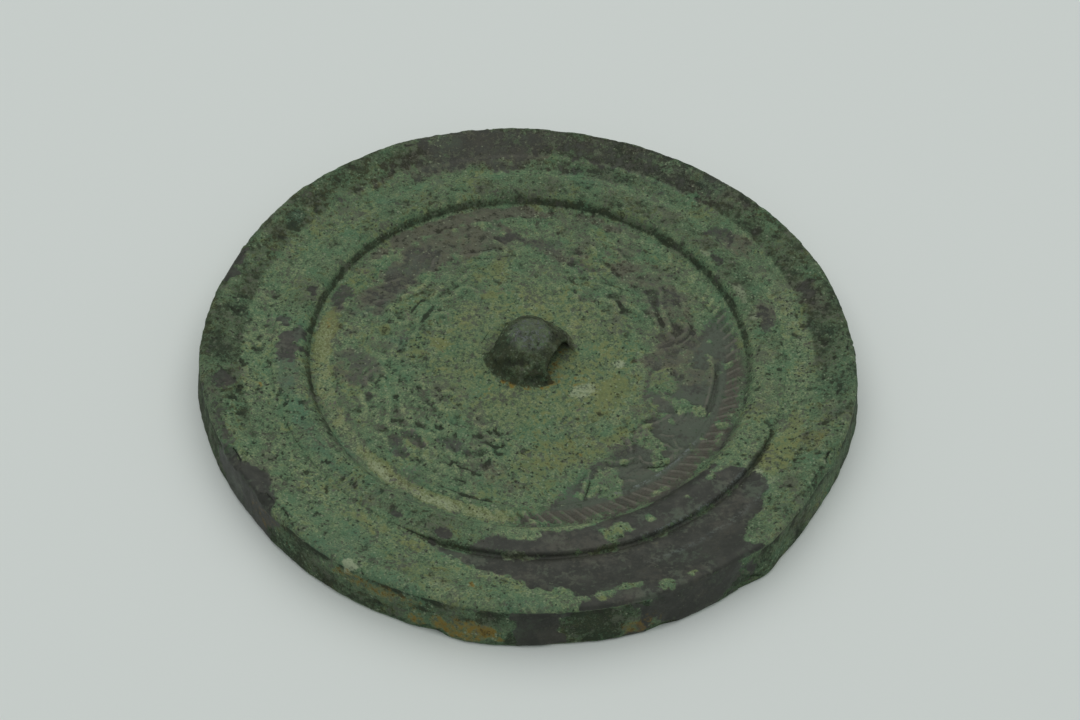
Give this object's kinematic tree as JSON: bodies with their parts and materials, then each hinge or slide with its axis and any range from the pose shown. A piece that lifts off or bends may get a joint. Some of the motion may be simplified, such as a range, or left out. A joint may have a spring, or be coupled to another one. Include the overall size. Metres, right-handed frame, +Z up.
{
  "type": "ancient cast bronze mirror",
  "caption": "Small round cast bronze mirror lying face down, with a sloping rim, stepped rings, a band of comb strokes, worn scroll relief and a pierced central knob.",
  "frame": {"origin": "middle of the flat underside, which is the reflecting face and lies on the table", "axes": "+Z up out of the decorated back; +X and +Y lie in the underside, with the clearest stretch of comb strokes between +X and -Y"},
  "size_m": [0.0803, 0.0802, 0.0063],
  "materials": {
    "patinated_bronze": "buried cast bronze: a granular green crust over most of it, smooth dark bronze where the crust is gone, ochre earth in the low places"
  },
  "bodies": {
    "root": {"bronze_mirror": "patinated_bronze"}
  },
  "joints": []
}
